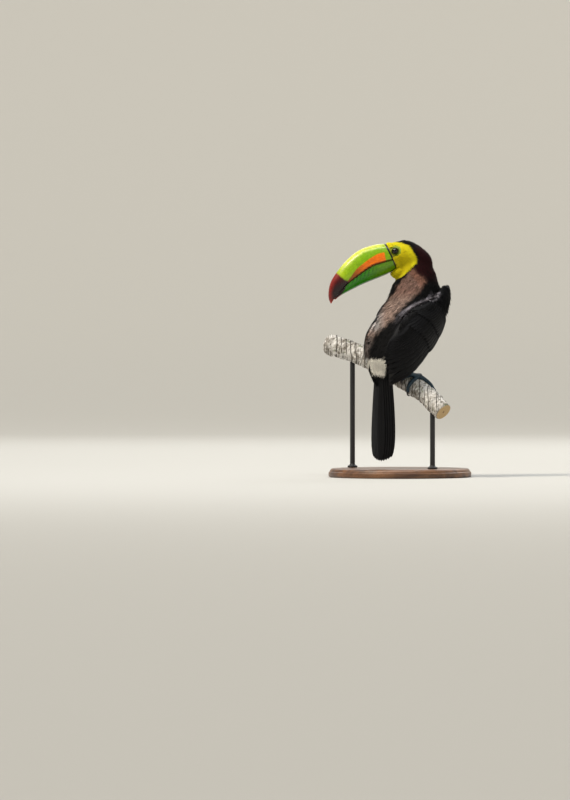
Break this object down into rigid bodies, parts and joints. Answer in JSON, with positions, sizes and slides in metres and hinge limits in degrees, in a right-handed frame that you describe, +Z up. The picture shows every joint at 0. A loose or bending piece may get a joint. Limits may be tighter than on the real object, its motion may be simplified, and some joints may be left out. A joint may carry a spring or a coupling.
{
  "type": "keel-billed toucan",
  "caption": "Life-size keel-billed toucan sitting on a short cut branch and looking back over its left shoulder, held by a plain display stand with a round base and rods.",
  "frame": {"origin": "centre of the display base's flat underside", "axes": "+Z up; the bill points along -X, and the bird's back and right side face -Y"},
  "size_m": [0.2075, 0.2, 0.3321],
  "materials": {
    "plumage_black": "soft black feathers with a faint blue and maroon gloss",
    "face_yellow": "fine yellow feathers on face, throat and breast",
    "rump_white": "loose white feathers over the tail base",
    "foot_skin": "blue-grey scaly skin",
    "claw": "dark polished horn",
    "bill": "green and yellow horn with an orange blaze and a maroon tip",
    "eye": "wet dark eye",
    "bark": "pale ringed bark with grey lichen, clean sawn ends",
    "stand_wood": "turned hardwood, satin varnish",
    "stand_metal": "satin black"
  },
  "bodies": {
    "root": {"head": "face_yellow", "neck": "plumage_black", "trunk": "plumage_black", "rump": "rump_white", "tail": "plumage_black", "wing_left": "plumage_black", "wing_right": "plumage_black", "thigh_left": "plumage_black", "thigh_right": "plumage_black", "foot_left": "foot_skin", "foot_right": "foot_skin", "claw_left_front_outer": "claw", "claw_left_front_inner": "claw", "claw_left_rear_inner": "claw", "claw_left_rear_outer": "claw", "claw_right_front_outer": "claw", "claw_right_front_inner": "claw", "claw_right_rear_inner": "claw", "claw_right_rear_outer": "claw", "bill_upper": "bill", "bill_lower": "bill", "eye_left": "eye", "eye_right": "eye", "perch": "bark", "stand_base": "stand_wood", "stand_rod_left": "stand_metal", "stand_rod_right": "stand_metal"}
  },
  "joints": []
}
